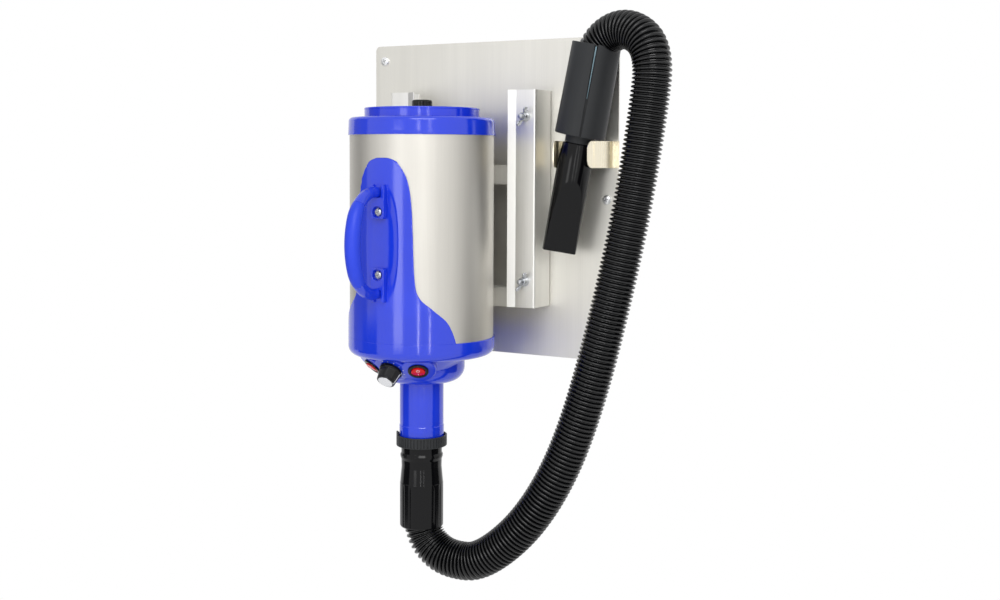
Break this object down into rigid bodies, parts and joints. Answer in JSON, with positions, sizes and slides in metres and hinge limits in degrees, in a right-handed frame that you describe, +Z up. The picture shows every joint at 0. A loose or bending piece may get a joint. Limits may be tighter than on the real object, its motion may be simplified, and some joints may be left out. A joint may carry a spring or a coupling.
{
  "type": "wall-mounted pet dryer",
  "caption": "Upright blower with steel barrel and blue caps, clamped to a steel wall plate, with a ribbed hose, hand grip and flat nozzle in a spring clip.",
  "frame": {"origin": "middle of the wall plate's back face, on the wall", "axes": "+X to the right seen from in front, +Y into the wall, +Z up"},
  "size_m": [0.4568, 0.273, 0.697],
  "materials": {
    "steel_plate": "vertical brushed stainless",
    "steel_bracket": "brushed stainless",
    "steel_barrel": "fine brushed stainless",
    "steel_clip": "polished spring steel",
    "zinc": "bright zinc",
    "blue": "glossy blue",
    "black": "satin black",
    "black_gloss": "gloss black",
    "rubber": "matte",
    "red": "lit red",
    "silver": "satin",
    "foam": "open cell",
    "copper": "wound",
    "iron": "laminated",
    "aluminium": "pressed",
    "board": "circuit board"
  },
  "bodies": {
    "dryer_on_bracket": {"wall_plate": "steel_plate", "channel_right": "steel_bracket", "channel_left": "steel_bracket", "clamp_rail_right": "steel_bracket", "clamp_rail_left": "steel_bracket", "clamp_studs": "zinc", "crossbar_upper": "steel_bracket", "crossbar_lower": "steel_bracket", "crossbar_screws": "zinc", "clip_base": "steel_clip", "nozzle_clip": "steel_clip", "clip_rivets": "zinc", "barrel_shell": "steel_barrel", "top_cap": "blue", "filter_foam": "foam", "filter_stud": "zinc", "lower_cap": "blue", "control_head": "blue", "cable_gland": "black", "switch_bezels": "black_gloss", "switch_bodies": "black", "speed_control": "black", "spout": "blue", "hose_cuff": "black", "spine_cover": "blue", "handle_frame": "blue", "handle_grip": "blue", "handle_screws": "zinc", "baffle_plate": "aluminium", "upper_rubber_ring": "rubber", "lower_rubber_ring": "rubber", "acoustic_foam": "foam", "support_plate": "aluminium", "fan_casing": "aluminium", "motor_housing": "aluminium", "stator": "copper", "bearings": "zinc", "brush_holders": "black", "outlet_duct": "black", "control_board": "board", "grip_sleeve": "black_gloss", "grip_core": "black", "hose": "black_gloss"},
    "wing_nut_upper_left": {"wing_nut_1": "zinc"},
    "wing_nut_lower_left": {"wing_nut_2": "zinc"},
    "wing_nut_upper_right": {"wing_nut_3": "zinc"},
    "wing_nut_lower_right": {"wing_nut_4": "zinc"},
    "left_rocker": {"rocker_left": "red"},
    "right_rocker": {"rocker_right": "red"},
    "speed_dial": {"speed_knob": "black", "knob_cap": "silver"},
    "cover": {"filter_cover": "blue"},
    "cover_knob": {"filter_knob": "black"},
    "rotor": {"rotor_shaft": "zinc", "armature": "iron", "impeller_1": "aluminium", "impeller_2": "aluminium"},
    "cuff_lock_ring": {"lock_ring": "black"},
    "air_nozzle": {"nozzle": "black"}
  },
  "joints": [
    {"name": "wing_nut_upper_left_turn", "type": "hinge", "parent": "dryer_on_bracket", "child": "wing_nut_upper_left", "pos_m": [-0.1135, -0.05, 0.102], "axis": [0, -1, 0], "continuous": true},
    {"name": "wing_nut_lower_left_turn", "type": "hinge", "parent": "dryer_on_bracket", "child": "wing_nut_lower_left", "pos_m": [-0.1135, -0.05, -0.102], "axis": [0, -1, 0], "continuous": true},
    {"name": "wing_nut_upper_right_turn", "type": "hinge", "parent": "dryer_on_bracket", "child": "wing_nut_upper_right", "pos_m": [0.0735, -0.05, 0.102], "axis": [0, -1, 0], "continuous": true},
    {"name": "wing_nut_lower_right_turn", "type": "hinge", "parent": "dryer_on_bracket", "child": "wing_nut_lower_right", "pos_m": [0.0735, -0.05, -0.102], "axis": [0, -1, 0], "continuous": true},
    {"name": "left_rocker_tilt", "type": "hinge", "parent": "dryer_on_bracket", "child": "left_rocker", "pos_m": [-0.06184, -0.17805, -0.20202], "axis": [0.8704, -0.4924, 0], "range_deg": [-14, 0]},
    {"name": "right_rocker_tilt", "type": "hinge", "parent": "dryer_on_bracket", "child": "right_rocker", "pos_m": [0.00384, -0.17805, -0.20202], "axis": [0.8704, 0.4924, 0], "range_deg": [-14, 0]},
    {"name": "speed_dial_turn", "type": "hinge", "parent": "dryer_on_bracket", "child": "speed_dial", "pos_m": [-0.029, -0.186, -0.2013], "axis": [0, -0.6947, -0.7193], "range_deg": [-150, 120]},
    {"name": "cover_lift", "type": "slide", "parent": "dryer_on_bracket", "child": "cover", "axis": [0, 0, 1], "range_m": [0, 0.05]},
    {"name": "cover_knob_turn", "type": "hinge", "parent": "cover", "child": "cover_knob", "pos_m": [-0.029, -0.12, 0.11], "axis": [0, 0, 1], "continuous": true},
    {"name": "rotor_spin", "type": "hinge", "parent": "dryer_on_bracket", "child": "rotor", "pos_m": [-0.029, -0.12, 0], "axis": [0, 0, 1], "continuous": true},
    {"name": "lock_ring_turn", "type": "hinge", "parent": "dryer_on_bracket", "child": "cuff_lock_ring", "pos_m": [-0.029, -0.12, -0.297], "axis": [0, 0, 1], "continuous": true},
    {"name": "nozzle_swivel", "type": "hinge", "parent": "dryer_on_bracket", "child": "air_nozzle", "pos_m": [0.1463, -0.04, 0.078], "axis": [0.1908, 0, 0.9816], "continuous": true}
  ]
}
